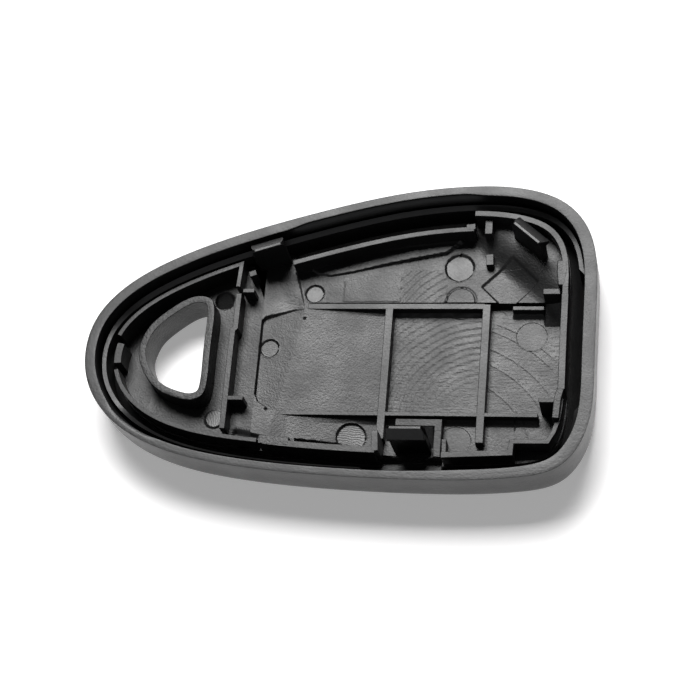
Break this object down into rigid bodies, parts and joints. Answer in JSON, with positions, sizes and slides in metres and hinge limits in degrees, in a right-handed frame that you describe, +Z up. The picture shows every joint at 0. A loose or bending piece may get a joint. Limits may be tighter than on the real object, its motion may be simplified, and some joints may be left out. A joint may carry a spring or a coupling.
{
  "type": "car key shell half",
  "caption": "Open half of a tapered car key remote shell: rounded black bowl with a key ring hole, board ribs, locating walls and springy snap hooks.",
  "frame": {"origin": "middle of the length and width, on the plane that the closed face rests on", "axes": "+X along the board ribs to the wide end, +Y to the rear flank with the corner hook, +Z up out of the open side"},
  "size_m": [0.064, 0.0392, 0.0088],
  "materials": {
    "moulded_plastic": "fine matte moulded grain"
  },
  "bodies": {
    "shell": {"bottom_shell": "moulded_plastic", "inner_rail": "moulded_plastic", "key_ring_eye": "moulded_plastic", "nose_stop_block": "moulded_plastic", "nose_wall_rear": "moulded_plastic", "nose_wall_front": "moulded_plastic", "divider_wall": "moulded_plastic", "front_wall": "moulded_plastic", "rear_wall": "moulded_plastic", "corner_wall": "moulded_plastic", "end_wall": "moulded_plastic", "front_end_wall": "moulded_plastic", "upper_board_rib": "moulded_plastic", "lower_board_rib_left": "moulded_plastic", "lower_board_rib_middle": "moulded_plastic", "lower_board_rib_right": "moulded_plastic", "cross_rib_left": "moulded_plastic", "cross_rib_right": "moulded_plastic", "short_board_rib": "moulded_plastic", "hook_frame": "moulded_plastic", "rear_hook_post": "moulded_plastic", "rear_divider_post": "moulded_plastic", "front_divider_post": "moulded_plastic", "rear_corner_post": "moulded_plastic", "end_corner_post": "moulded_plastic", "end_bracket": "moulded_plastic"},
    "rear_snap_hook": {"rear_snap_hook": "moulded_plastic"},
    "front_snap_hook": {"front_snap_hook": "moulded_plastic"},
    "corner_snap_hook": {"corner_snap_hook": "moulded_plastic"}
  },
  "joints": [
    {"name": "rear_hook_flex", "type": "hinge", "parent": "shell", "child": "rear_snap_hook", "pos_m": [-0.0096, 0.01097, 0.00355], "axis": [0.9532, 0.3024, 0], "range_deg": [-1, 6], "stiffness_Nm_per_rad": 0.3},
    {"name": "front_hook_flex", "type": "hinge", "parent": "shell", "child": "front_snap_hook", "pos_m": [0.00968, -0.01357, 0.00205], "axis": [-1, 0, 0], "range_deg": [-1, 6], "stiffness_Nm_per_rad": 0.3},
    {"name": "corner_hook_flex", "type": "hinge", "parent": "shell", "child": "corner_snap_hook", "pos_m": [0.02332, 0.01272, 0.00355], "axis": [0.7547, -0.6561, 0], "range_deg": [-1, 6], "stiffness_Nm_per_rad": 0.3}
  ]
}
